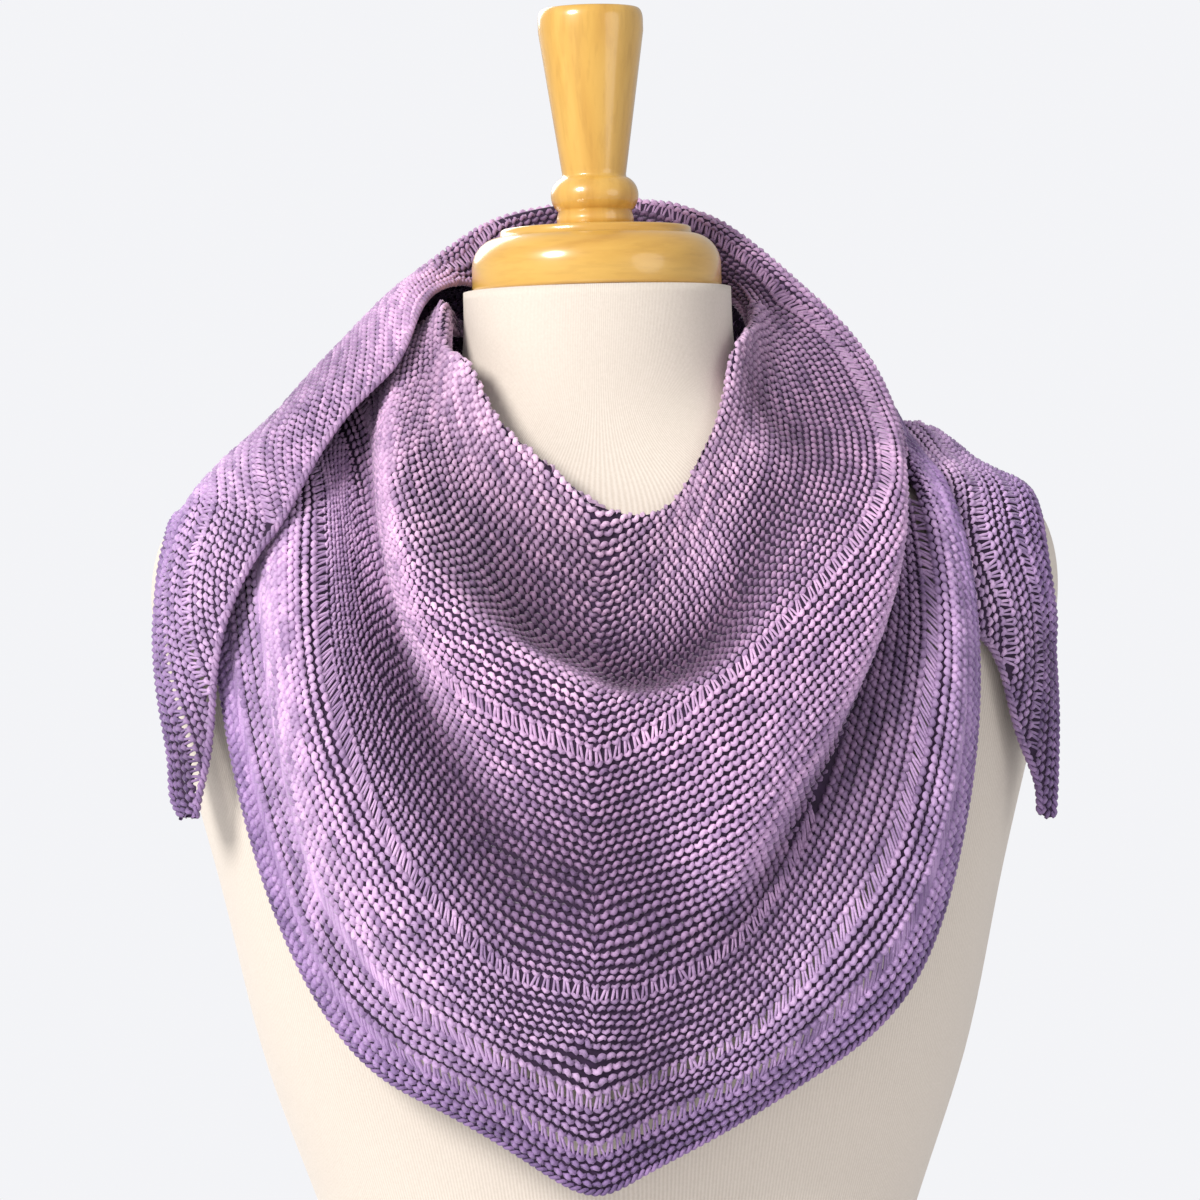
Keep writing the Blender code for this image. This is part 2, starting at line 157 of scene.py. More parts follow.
TAIL_LEFT_SECTIONS = [
    [(-59, 32, 668), (-68, 38, 675), (-79, 47, 673), (-92, 58, 652), (-101, 68, 620)],
    [(-76, -14, 656), (-88, 4, 660), (-103, 24, 650), (-116, 40, 628), (-126, 52, 600)],
    [(-86, -46, 631), (-102, -24, 637), (-122, 4, 630), (-137, 22, 611), (-147, 36, 588)],
    [(-105, -60, 611), (-122, -38, 616), (-140, -8, 610), (-154, 10, 594), (-163, 24, 580)],
    [(-123, -74, 585), (-142, -51, 592), (-159, -24, 592), (-170, -6, 582), (-177, 6, 571)],
    [(-136, -82, 562), (-153, -65, 569), (-169, -46, 573), (-180, -34, 566), (-187, -27, 556)],
    [(-148, -85, 546), (-163, -73, 547), (-178, -56, 546), (-187, -42, 541), (-191, -31, 534)],
    [(-160, -84, 520), (-170, -76, 519), (-181, -63, 518), (-188, -50, 516), (-192, -38, 513)],
    [(-165, -82, 492), (-172, -76, 491), (-179, -69, 490), (-185, -60, 488), (-189, -51, 486)],
    [(-168, -79, 466), (-172, -75, 465), (-177, -70, 464), (-181, -65, 463), (-185, -60, 462)],
    [(-172, -76, 450), (-175, -74, 449), (-178, -71, 448), (-181, -68, 448), (-184, -65, 448)],
    [(-174, -74, 440), (-175.5, -73, 440), (-177, -72, 440), (-178.5, -71, 440), (-180, -70, 440)],
]

# Camera
CAMERA_PLACE = (-0.0021, -2.4, 0.527)
CAMERA_LENS = 166.3
CAMERA_ROLL = 1.44

# Light and surround
SURROUND = (0.90, 0.905, 0.93)
SURROUND_STRENGTH = 1.0
SURROUND_LIGHT = 0.55
FLOOR_RADIUS = 1.6
FLOOR_SIDES = 96
FLOOR_COLOUR = (0.86, 0.865, 0.88, 1.0)

# Each lamp: its place, the height on the axis that it points at, its size, power and colour.
LAMPS = {
    "key": ((-1.5, -1.7, 1.75), 0.5, 0.9, 68.0, (1.0, 0.985, 0.96)),
    "fill": ((1.8, -1.6, 0.9), 0.45, 1.4, 8.0, (0.97, 0.98, 1.0)),
    "back": ((-0.9, 1.7, 1.5), 0.5, 1.2, 16.0, (1.0, 1.0, 1.0)),
}

# Finer pieces than the solids
SMOOTH_RINGS = 7
SMOOTH_SEGMENTS = 144
FINE_TURNS = 96
JERSEY_WALES = 560.0

# The yarn's dye from the hem, at 0, to the neck, at 1, and the row that counts as 1. The streaks are the
# lighter and darker stretches along each yarn, which multiply it.
DYES = [
    (0.0, (0.30, 0.185, 0.40)),
    (0.16, (0.50, 0.335, 0.54)),
    (0.36, (0.47, 0.30, 0.505)),
    (0.62, (0.54, 0.34, 0.54)),
    (1.0, (0.76, 0.52, 0.71)),
]
NECK_ROW = 88.0
STREAKS = [(0.34, (0.56, 0.52, 0.62)), (0.5, (0.95, 0.93, 0.96)), (0.68, (1.38, 1.36, 1.30))]

# Colours of the shells, the jersey and the wood, along the values of their noise. The shells' near black is
# painted shade in the gaps between the rows and behind the open stitches
PAINTED_GAP_SHADE_TONES = [(0.3, (0.016, 0.005, 0.022)), (0.7, (0.035, 0.013, 0.048))]
JERSEY_TONES = [(0.2, (0.64, 0.56, 0.48)), (0.8, (0.73, 0.65, 0.57))]
MAPLE_TONES = [(0.28, (0.56, 0.29, 0.05)), (0.5, (0.66, 0.375, 0.075)), (0.74, (0.73, 0.44, 0.105))]
MAPLE_FLECKS = [(0.36, (0.80, 0.76, 0.72)), (0.5, (1.0, 1.0, 1.0))]

# Each stretch as it was knitted flat: width and length in metres, and area in square metres.
FLAT_SIZES = {
    "scarf_tail_right": (0.245, 0.095, 0.0152),
    "scarf_nape_inner": (0.26, 0.075, 0.0147),
    "scarf_front": (0.72, 0.34, 0.122),
    "scarf_nape_outer": (0.24, 0.125, 0.0240),
    "scarf_tail_left": (0.30, 0.122, 0.0248),
}


def spline(knots, values, at):
    """A natural cubic spline through values at knots, read at the places in at."""
    count = len(knots)
    flat = values.reshape(count, -1)
    step = np.diff(knots)
    slope = np.diff(flat, axis=0) / step[:, None]
    matrix = np.eye(count)
    right = np.zeros_like(flat)
    for i in range(1, count - 1):
        matrix[i, i - 1 : i + 2] = step[i - 1], 2 * (step[i - 1] + step[i]), step[i]
        right[i] = 6 * (slope[i] - slope[i - 1])
    bend = np.linalg.solve(matrix, right)
    low = np.clip(np.searchsorted(knots, at, side="right") - 1, 0, count - 2)
    width = step[low][:, None]
    ahead = (at - knots[low])[:, None]
    behind = width - ahead
    result = (bend[low] * behind**3 + bend[low + 1] * ahead**3) / (6 * width)
    result += (flat[low] / width - bend[low] * width / 6) * behind
    result += (flat[low + 1] / width - bend[low + 1] * width / 6) * ahead
    return result.reshape(len(at), *values.shape[1:])


def chord_knots(points):
    """Spline knots that grow with the root of the distance, which keeps tight folds from overshooting."""
    steps = np.linalg.norm(np.diff(points, axis=0), axis=-1)
    if steps.ndim > 1:
        steps = steps.mean(axis=1)
    return np.concatenate([[0.0], np.cumsum(np.sqrt(steps))])


def between(knots, steps):
    """Places along the knots, with the given number of steps in each stretch."""
    parts = [np.linspace(a, b, n, endpoint=False) for a, b, n in zip(knots[:-1], knots[1:], steps)]
    return np.concatenate([*parts, [knots[-1]]])


def round_neck(sections):
    """The points of each section, at its (distance, height) pairs and its angle round the neck."""
    rows = []
    for angle, pairs in sections.items():
        turn = radians(angle)
        rows.append([(distance * sin(turn), -distance * cos(turn), height) for distance, height in pairs])
    return rows


def section(points, lines):
    """A smooth section through its points on the named lines, from the neck to the hem."""
    points = np.array(points, float)
    knots = chord_knots(points)
    return spline(knots, points, between(knots, list(lines.values())[:-1]))


def scarf_sections():
    """Every section of the sheet in order, and the index of the section where each stretch begins."""
    stretches = {
        "scarf_tail_right": (TAIL_RIGHT_SECTIONS[::-1], WING_LINES),
        "scarf_nape_inner": (round_neck(INNER_NAPE_SECTIONS)[::-1], WING_LINES),
        "scarf_front": (round_neck(BIB_SECTIONS), BIB_LINES),
        "scarf_nape_outer": (round_neck(OUTER_NAPE_SECTIONS), WING_LINES),
        "scarf_tail_left": (TAIL_LEFT_SECTIONS, WING_LINES),
    }
    sections = []
    starts = {}
    for name, (rows, lines) in stretches.items():
        starts[name] = len(sections)
        sections += [section(points, lines) for points in rows]
    return np.array(sections), starts


# Each stretch of the sheet: its name, the steps between two sections, how many section points lie from one
# grid point to the next, and the ease that its coarser grid needs over the form's curves.
STRETCHES = [
    ("scarf_tail_right", 2, 2, 2.3),
    ("scarf_nape_inner", 3, 2, 0.3),
    ("scarf_front", 4, 1, 0.5),
    ("scarf_nape_outer", 3, 2, 0.0),
    ("scarf_tail_left", 2, 2, 0.8),
]


# Which stretch lies over which where they cross.
LAYERS = [
    ("scarf_front", "scarf_tail_right"),
    ("scarf_nape_outer", "scarf_nape_inner"),
    ("scarf_nape_outer", "scarf_tail_right"),
    ("scarf_tail_left", "scarf_nape_inner"),
    ("scarf_tail_left", "scarf_front"),
]


def stretch_cuts(starts, count):
    """The sections at which each stretch begins and the last one ends.

    The nape stretches run from the bib's end sections to the tails' first sections.
    """
    return [
        0,
        starts["scarf_nape_inner"] - 1,
        starts["scarf_front"],
        starts["scarf_nape_outer"] - 1,
        starts["scarf_tail_left"],
        count - 1,
    ]


def scarf_grids(sections, cuts):
    """A grid of points for each stretch, in the middle of the cloth's thickness."""
    knots = chord_knots(sections)
    spans = np.linalg.norm(np.diff(sections, axis=0), axis=-1).mean(axis=1)
    grids = {}
    for (name, steps, skip, _), first, last in zip(STRETCHES, cuts[:-1], cuts[1:]):
        places = between(knots[first : last + 1], [steps] * (last - first))
        if first > 0:
            places[0] += SEAM_GAP / spans[first] * (knots[first + 1] - knots[first])
        if last < len(sections) - 1:
            places[-1] -= SEAM_GAP / spans[last - 1] * (knots[last] - knots[last - 1])
        grids[name] = spline(knots, sections, places)[:, ::skip]
    return grids


def grid_faces(rows, columns, closed=False):
    """Faces of a grid of points, turned so that they look away from the form."""
    faces = []
    wrap = columns if closed else columns - 1
    for row in range(rows - 1):
        for column in range(wrap):
            beside = (column + 1) % columns
            a, b = row * columns + column, row * columns + beside
            faces.append((a, b, b + columns, a + columns))
    return faces


def softened(change):
    """A field of moves with each one shared with its neighbours, so that a push leaves no kink."""
    padded = np.pad(change, ((1, 1), (1, 1), (0, 0)), mode="edge")
    sides = padded[:-2, 1:-1] + padded[2:, 1:-1] + padded[1:-1, :-2] + padded[1:-1, 2:]
    return 0.5 * change + 0.125 * sides


def push_clear(grid, tree, least, reach, side=1):
    """Moves points that are within reach and less than least above the surface, and eases their neighbours.

    With a side of -1 the points go under the surface instead.
    """
    moved = grid.copy()
    for soften in (True, True, False):
        change = np.zeros_like(moved)
        for index in np.ndindex(moved.shape[:2]):
            point = Vector(moved[index])
            place, normal, _, _ = tree.find_nearest(point, reach)
            if place is None:
                continue
            up = normal * side
            height = (point - place).dot(up)
            beside = (point - place - up * height).length
            if height < least and beside < least:
                change[index] = up * (least - height)
        moved += softened(change) if soften else change
    return moved


def tree_of(grid, closed=False):
    """A search tree of the surface through a grid of points."""
    rows, columns = grid.shape[:2]
    points = [Vector(point) for point in grid.reshape(-1, 3)]
    return BVHTree.FromPolygons(points, grid_faces(rows, columns, closed))


def form_rings(steps, segments):
    """Rings of the form from its flat underside to its neck, with steps from each station to the next."""
    stations = np.array(FORM_STATIONS)
    places = between(stations[:, 0], [steps] * (len(stations) - 1))
    sizes = spline(stations[:, 0], stations[:, 1:], places)
    turns = 2 * np.pi * np.arange(segments) / segments
    across = np.sign(np.cos(turns)) * np.abs(np.cos(turns)) ** (2 / FORM_SQUARENESS)
    along = np.sign(np.sin(turns)) * np.abs(np.sin(turns)) ** (2 / FORM_SQUARENESS)
    reach = np.where(along > 0, sizes[:, 2:], sizes[:, 1:2])
    heights = np.broadcast_to(places[:, None], reach.shape)
    return np.stack([sizes[:, :1] * across, reach * along, heights], axis=-1)


def arc(centre, radii, first, last, count):
    """Points along a rounded stretch of a profile, as (distance, height), between two angles in degrees."""
    turns = np.radians(np.linspace(first, last, count))
    return [(centre[0] + radii[0] * cos(turn), centre[1] + radii[1] * sin(turn)) for turn in turns]


# The knitted rows of the bib, counted from the hem. Each row of the table is a section's angle, the lines of
# the section on which the 5th, the 11th and the 23rd row lie, then the row that lies at the hollow as counted
# from the hem, at the hollow as counted from the neck, at the crest and at the neck. Where the two counts at
# the hollow differ, the rows between are lost in the depth of the fold.
BIB_ROWS = [
    (-105, 21.8, 16.8, 16.0, 12.0, 50.0, 62.0, 70.0),
    (-88, 23.8, 20.5, 16.0, 20.0, 47.0, 61.0, 70.5),
    (-73, 24.6, 21.5, 18.0, 32.0, 46.0, 59.5, 71.5),
    (-60, 25.1, 22.1, 18.2, 45.0, 45.0, 59.0, 72.0),
    (-47, 25.3, 23.5, 19.0, 45.0, 45.0, 63.0, 83.0),
    (-33, 25.0, 23.3, 19.3, 39.0, 39.0, 61.0, 87.0),
    (-17, 24.1, 22.1, 19.2, 32.5, 32.5, 57.5, 89.0),
    (-5, 23.7, 21.0, 18.3, 30.5, 30.5, 54.5, 89.5),
    (4, 23.6, 21.4, 18.3, 29.0, 29.0, 52.5, 88.5),
    (18, 23.0, 20.4, 17.0, 25.5, 25.5, 49.5, 85.5),
    (32, 23.6, 20.0, 16.6, 24.5, 24.5, 50.5, 82.0),
    (46, 23.0, 19.5, 16.0, 22.0, 30.0, 51.0, 82.0),
    (57, 23.0, 19.0, 16.0, 18.0, 37.0, 51.0, 82.0),
    (65, 22.0, 18.0, 16.0, 13.0, 42.5, 50.2, 81.0),
    (73, 18.0, 16.0, 16.0, 6.0, 44.0, 49.0, 77.0),
    (89, 18.0, 16.0, 16.0, 6.0, 42.0, 48.0, 68.0),
    (106, 18.0, 16.0, 16.0, 7.0, 41.5, 48.0, 58.5),
]
OUTER_NAPE_ROWS = [
    (128, 22.4, 18.1, 16.0, 14.0, 40.0, 48.0, 59.5),
    (150, 22.4, 18.1, 16.0, 14.0, 41.0, 49.0, 62.5),
    (180, 22.4, 18.1, 16.0, 14.0, 42.0, 50.5, 64.0),
]
PLACED_ROWS = (5, 11, 23)
HOLLOW_LINE = 16
CREST_LINE = 10
WING_ROW_PITCH = 3.38
TOP_ROW = 96

# On the outer wing the rows run aslant and end at its hem. These are the rows that lie beyond the hem at each
# section, from the bib's last one, round the nape and down the roll.
ROWS_BEYOND_HEM = (0, 9, 18, 28, 28, 28, 28, 21, 13, 7, 3, 0)

# The rows that were dropped, so that long open stitches bridge their place.
HEM_OPEN_ROWS = (5, 11, 23)
BIB_OPEN_ROWS = (5, 11, 23, 51)
OPEN_ROWS = {
    "scarf_tail_right": HEM_OPEN_ROWS,
    "scarf_nape_inner": HEM_OPEN_ROWS,
    "scarf_front": BIB_OPEN_ROWS,
    "scarf_nape_outer": BIB_OPEN_ROWS,
    "scarf_tail_left": HEM_OPEN_ROWS,
}

# Where the form shows through between the open stitches.
SEEN_THROUGH_ROWS = (5, 11)
SEEN_THROUGH = ("scarf_front", "scarf_tail_left")
OPEN_HALF_WIDTH = 0.78

# The spine, where both halves of each row meet in a point: its angle round the neck at the neck and the hem,
# how many rows deep the point is, and how far to its sides it reaches. It grows from nothing at the hem and
# from a share of itself at the neck, each over a length of the section.
SPINE_ANGLES = (0.0, -5.0)
SPINE_DIP = 5.2
SPINE_SPREAD = 40.0
DIP_GROWS_FROM_HEM = 45.0
DIP_GROWS_FROM_NECK = 80.0
DIP_AT_NECK = 0.5

# The least change of the row count from one grid point to the next that gives a distance between rows
LEAST_COUNT = 0.05

# Shade in the folds, painted into the yarn's colour: painted shade in the troughs and in the dips between
# stitches, painted highlight on the crests
FOLD_ROUNDS = 9
FOLD_REACH_ALONG = 4
FOLD_RANGE = (-4.6, 4.0)
FOLD_PAINTED_SHADE_AND_HIGHLIGHT = (
    (0.0, (1.30, 1.30, 1.27)),
    (0.25, (1.16, 1.16, 1.15)),
    (0.42, (0.97, 0.96, 0.98)),
    (0.60, (0.66, 0.62, 0.68)),
    (0.80, (0.36, 0.31, 0.38)),
    (1.0, (0.22, 0.17, 0.23)),
)
DIP_SHADE = 3.6

# Yarn
STITCH = 4.2
BUMP_LIFT = 0.1
BUMP_RISE = 0.92
BUMP_ARC = 0.5
BUMP_SLANT = 0.34
PAIR_SHIFT = 0.08
PAIR_FULL_ROW = 60.0
YARN_RADIUS = 1.12
FULL_PITCH = 3.5
RADIUS_SHARES = (0.68, 1.28)
FRONT_PARTED_AT = (20, 45)
TUBE_SIDES = 5
OPEN_TURNS = (-30, 50, 130, 210)
STEPS_PER_STITCH = 6
ROW_MAP_SCALE = 100 * MM
FINE_U = 4
FINE_V = 2
SHELL_THICKNESS = 0.7

# How the bumps stray along a row, in place and in height: the size of it, how fast it changes along the row
# and how far it is shifted on the next row.
STRAY_PLACE = (0.5, 0.11, 1.7)
STRAY_HEIGHT = (0.12, 0.9, 2.3)

# The legs of an open stitch. The foot and the head are shares of a stitch to either side of its middle.
STRAND_SEED = 7
STRAND_RADIUS = 0.72
STRAND_UNEVEN = 0.12
STRAND_LEAN = 0.25
STRAND_FOOT = 0.27
STRAND_HEAD = 0.10
STRAND_ENDS = (0.02, 0.98)
STRAND_POINTS = 5
STRAND_BOW = (0.35, 0.3)
STRAND_MAP_LENGTH = 7.0

# The chain of two strands along the edges
CHAIN_RADIUS = 0.95
CHAIN_STITCH = 6.4
CHAIN_STEPS = 8
CHAIN_RISE = 0.8
CHAIN_SWING = 0.95

# A face of a shell that more rows cross than this lies where rows are lost in a fold, and isn't parted.
MOST_ROWS_IN_FACE = 12


def smooth_grid(grid, along, across):
    """The grid with that many steps for each of its own, on smooth curves."""
    rows = np.arange(len(grid), dtype=float)
    if along > 1:
        grid = spline(rows, grid, np.linspace(0, len(grid) - 1, (len(grid) - 1) * along + 1))
    if across > 1:
        turned = grid.transpose(1, 0, 2).copy()
        places = np.linspace(0, len(turned) - 1, (len(turned) - 1) * across + 1)
        grid = spline(np.arange(len(turned), dtype=float), turned, places).transpose(1, 0, 2)
    return grid


def whole_sheet():
    """One fine grid of the whole sheet, the stretch of each of its lines, and where each section lies.

    The last value is the index of the section where each stretch begins.
    """
    sections, starts = scarf_sections()
    cuts = stretch_cuts(starts, len(sections))
    grids = scarf_grids(sections, cuts)
    form = tree_of(form_rings(RINGS_PER_STATION, FORM_SEGMENTS), closed=True)
    on_form = {name: WALL / 2 + FORM_GAP + ease for name, _, _, ease in STRETCHES}
    on_cloth = WALL + LAYER_GAP
    for name in grids:
        grids[name] = push_clear(grids[name], form, on_form[name], INSIDE_REACH)
    for _ in range(PUSH_ROUNDS):
        for upper, lower in LAYERS:
            grids[lower] = push_clear(grids[lower], tree_of(grids[upper]), on_cloth, LAYER_REACH, side=-1)
            grids[lower] = push_clear(grids[lower], form, on_form[lower], INSIDE_REACH)
            grids[upper] = push_clear(grids[upper], tree_of(grids[lower]), on_cloth, LAYER_REACH)
    joined = []
    owners = []
    for name, _, skip, _ in STRETCHES:
        grid = smooth_grid(grids[name], 1, skip)
        if joined:
            joined[-1][-1] = (joined[-1][-1] + grid[0]) / 2
            grid = grid[1:]
        joined.append(grid)
        owners += [name] * len(grid)
    coarse = np.concatenate(joined)
    fine = smooth_grid(coarse, FINE_U, FINE_V)
    owner_index = np.minimum((np.arange(len(fine)) + FINE_U - 1) // FINE_U, len(coarse) - 1)
    return fine, np.array(owners)[owner_index], section_places(cuts), starts


def section_places(cuts):
    """The line of the fine grid on which each section lies, in the order of the sheet."""
    places = [0]
    for (_, steps, _, _), first, last in zip(STRETCHES, cuts[:-1], cuts[1:]):
        for _ in range(last - first):
            places.append(places[-1] + steps * FINE_U)
    return places


def lengths_from_hem(grid):
    """How far each point of the grid is from the hem, along its own section."""
    steps = np.linalg.norm(np.diff(grid, axis=1), axis=2)
    back = np.cumsum(steps[:, ::-1], axis=1)[:, ::-1]
    return np.concatenate([back, np.zeros((len(grid), 1))], axis=1)


def spine_reach(grid):
    """The distance of each point from the spine, round the neck, to the viewer's right."""
    spine = np.radians(np.linspace(*SPINE_ANGLES, grid.shape[1]))
    angle = np.arctan2(grid[:, :, 0], -grid[:, :, 1])
    reach = np.hypot(grid[:, :, 0], grid[:, :, 1])
    return (angle - spine) * reach


def bib_rows(grid, first, anchors, places, beyond):
    """The row count at every point of the bib and the outer nape, from the hem and from the neck."""
    lengths = lengths_from_hem(grid)
    lines = np.arange(first, first + len(grid))
    anchored = [np.interp(lines, places, column) for column in list(zip(*anchors))[1:]]
    spots, low_hollow, high_hollow, at_crest, at_neck = anchored[:3], *anchored[3:]
    hollow, crest = HOLLOW_LINE * FINE_V, CREST_LINE * FINE_V
    columns = np.arange(grid.shape[1])
    from_hem = np.zeros_like(lengths)
    for line in range(len(grid)):
        placed = np.interp([spot[line] * FINE_V for spot in spots], columns, lengths[line])
        reached = [min(row, low_hollow[line]) for row in PLACED_ROWS]
        known = [0.0, *placed, lengths[line, hollow]]
        from_hem[line] = np.interp(lengths[line], known, [0.0, *reached, low_hollow[line]]) + beyond[line]
    span_low = (lengths - lengths[:, hollow, None]) / (lengths[:, crest] - lengths[:, hollow])[:, None]
    low = high_hollow[:, None] + span_low * (at_crest - high_hollow)[:, None]
    span_high = (lengths - lengths[:, crest, None]) / (lengths[:, 0] - lengths[:, crest])[:, None]
    high = at_crest[:, None] + span_high * (at_neck - at_crest)[:, None]
    count = np.where(columns >= hollow, from_hem, np.where(columns >= crest, low, high))
    upper = np.where(columns > crest, low, high)
    grown_low = np.minimum(1.0, lengths / DIP_GROWS_FROM_HEM)
    grown_high = np.minimum(1.0, (lengths[:, :1] - lengths) / DIP_GROWS_FROM_NECK + DIP_AT_NECK)
    dip = SPINE_DIP * np.exp(-np.abs(spine_reach(grid)) / SPINE_SPREAD) * (grown_low * grown_high)
    return count + dip, upper + dip, hollow


def row_pitches(grid, count, upper, hollow):
    """How far apart two neighbouring rows lie at each point of the grid."""
    step = np.abs(np.gradient(lengths_from_hem(grid), axis=1))
    from_hollow = np.arange(grid.shape[1]) >= hollow
    counted = np.where(from_hollow, np.gradient(count, axis=1), np.gradient(upper, axis=1))
    return step / np.maximum(np.abs(counted), LEAST_COUNT)


def row_places(count, upper, hollow, label):
    """Where a row crosses each line of the grid, as a place along the section, or nan where it doesn't.

    A row that runs off the sheet goes on to its edge at the next line.
    """
    found = np.full(len(count), np.nan)
    columns = np.arange(count.shape[1])
    for line in range(len(count)):
        below = count[line, hollow:][::-1]
        above = upper[line, : hollow + 1][::-1]
        if below[0] <= label <= below[-1]:
            found[line] = np.interp(label, below, columns[hollow:][::-1])
        elif above[0] <= label <= above[-1]:
            found[line] = np.interp(label, above, columns[: hollow + 1][::-1])
    past_neck = np.where(upper[:, 0] < label, 0.0, np.nan)
    edge = np.where(count[:, -1] > label, count.shape[1] - 1.0, past_neck)
    crossed = np.pad(~np.isnan(found), 1)
    beside = crossed[:-2] | crossed[2:]
    return np.where(np.isnan(found) & beside, edge, found)


def at_place(values, line, place):
    """The grid's values at places along its lines."""
    low = np.clip(np.floor(place).astype(int), 0, values.shape[1] - 2)
    part = (place - low)[:, None]
    return values[line, low] * (1 - part) + values[line, low + 1] * part


def grid_normals(grid):
    """Unit normals of the sheet that look away from the form."""
    along = np.gradient(grid, axis=0)
    down = np.gradient(grid, axis=1)
    normal = np.cross(down, along)
    return normal / np.linalg.norm(normal, axis=2, keepdims=True)


def fold_depths(grid, normals):
    """How far each point lies below the sheet's own average round it, in mm: above 0 in a trough."""
    level = grid.copy()
    for _ in range(FOLD_ROUNDS):
        for axis, reach in ((0, FOLD_REACH_ALONG), (1, 1)):
            size = level.shape[axis]
            ahead = np.minimum(np.arange(size) + reach, size - 1)
            behind = np.maximum(np.arange(size) - reach, 0)
            level = 0.5 * level + 0.25 * (np.take(level, ahead, axis) + np.take(level, behind, axis))
    return ((level - grid) * normals).sum(axis=2)


def unit(vectors):
    return vectors / np.maximum(np.linalg.norm(vectors, axis=-1, keepdims=True), 1e-9)


def lengths_along(points):
    """How far along a path each of its points lies."""
    return np.concatenate([[0.0], np.cumsum(np.linalg.norm(np.diff(points, axis=0), axis=1))])


def read_at(at, length, values):
    """Each column of the values along a path, read at these lengths."""
    return np.stack([np.interp(at, length, column) for column in values.T], axis=-1)


def resampled(points, normals, extras, step):
    """A path at even steps of its own length, with its normals and other values."""
    length = lengths_along(points)
    count = max(2, int(round(length[-1] / step)) + 1)
    at = np.linspace(0, length[-1], count)
    carried = [np.interp(at, length, extra) for extra in extras]
    return read_at(at, length, points), unit(read_at(at, length, normals)), carried


def add_object(name, data):
    made = bpy.data.objects.new(name, data)
    bpy.context.scene.collection.objects.link(made)
    return made


def finished(mesh, finish):
    """A smooth object of the mesh, in its one material."""
    mesh.shade_smooth()
    mesh.materials.append(finish)
    return add_object(mesh.name, mesh)


class Tubes:
    """Many tubes of yarn, gathered into one mesh, with a map of the row and of the way along it, and a map
    that sets the painted shade and highlight of the folds.

    Yarn that lies on the cloth has no underside, since it is never seen.
    """

    def __init__(self, closed=False):
        self.closed = closed
        self.turns = np.arange(TUBE_SIDES) * 2 * np.pi / TUBE_SIDES if closed else np.radians(OPEN_TURNS)
        self.points = []
        self.faces = []
        self.maps = []
        self.folds = []
        self.count = 0

    def add(self, path, normal, radius, along, row, fold):
        tangent = unit(np.gradient(path, axis=0))
        side = unit(np.cross(tangent, normal))
        up = np.cross(side, tangent)
        turned = self.turns[None, :, None]
        ring = side[:, None, :] * np.cos(turned) + up[:, None, :] * np.sin(turned)
        radius = np.broadcast_to(radius, len(path))
        points = path[:, None, :] + ring * radius[:, None, None]
        sides = len(self.turns)
        index = self.count + np.arange(len(path) * sides).reshape(len(path), sides)
        beside = np.roll(index, -1, axis=1)
        used = sides if self.closed else sides - 1
        corners = [index[:-1, :used], beside[:-1, :used], beside[1:, :used], index[1:, :used]]
        quads = np.stack(corners, axis=-1)
        self.points.append(points.reshape(-1, 3))
        self.faces.append(quads.reshape(-1, 4))
        place = np.broadcast_to(along[:, None] * ROW_MAP_SCALE, index.shape)
        label = np.broadcast_to(np.asarray(row, float).reshape(-1, 1), index.shape)
        self.maps.append(np.stack([place, label], axis=-1).reshape(-1, 2))
        low, high = FOLD_RANGE
        deep = np.clip((np.asarray(fold, float) - low) / (high - low), 0.0, 1.0)
        self.folds.append(np.repeat(np.broadcast_to(deep, len(path)), sides))
        self.count += index.size

    def make(self, name, finish):
        points = np.concatenate(self.points) * MM
        faces = np.concatenate(self.faces)
        folds = np.concatenate(self.folds)
        mesh = bpy.data.meshes.new(name)
        mesh.vertices.add(len(points))
        mesh.vertices.foreach_set("co", points.astype(np.float32).ravel())
        mesh.loops.add(faces.size)
        mesh.loops.foreach_set("vertex_index", faces.astype(np.int32).ravel())
        mesh.polygons.add(len(faces))
        mesh.polygons.foreach_set("loop_start", np.arange(0, faces.size, 4, dtype=np.int32))
        mesh.polygons.foreach_set("loop_total", np.full(len(faces), 4, np.int32))
        mesh.update(calc_edges=True)
        maps = {"rows": np.concatenate(self.maps), "folds": np.stack([folds, folds], axis=-1)}
        for map_name, values in maps.items():
            layer = mesh.uv_layers.new(name=map_name)
            layer.data.foreach_set("uv", values[faces.ravel()].astype(np.float32).ravel())
        return finished(mesh, finish)


def stray(where, label, size, pace, shift):
    return size * np.sin(where * pace + label * shift)


def yarn_path(path, normal, where, label):
    """A row's yarn, which arcs over the cloth at each stitch and dips between two, and the depth of each dip,
    which sets painted shade on the yarn there.

    The arcs of two neighbouring rows bend apart, as those of one garter ridge do.
    """
    tangent = unit(np.gradient(path, axis=0))
    across = unit(np.cross(normal, tangent))
    way = 1.0 if label % 2 else -1.0
    phase = 2 * np.pi * np.abs(where) / STITCH + (label % 2) * np.pi + stray(where, label, *STRAY_PLACE)
    uneven = 1.0 + stray(where, label, *STRAY_HEIGHT)
    rise = BUMP_LIFT + BUMP_RISE * np.cos(phase) * uneven
    sideways = way * BUMP_ARC * np.cos(phase) + BUMP_SLANT * np.sin(phase)
    return path + normal * rise[:, None] + across * sideways[:, None], (1 - np.cos(phase)) / 2


def runs_of(mask):
    """The first and last index of each run of true values that is at least 2 long."""
    edges = np.flatnonzero(np.diff(np.concatenate([[0], mask.astype(int), [0]])))
    return [(a, b - 1) for a, b in zip(edges[::2], edges[1::2]) if b - a >= 2]


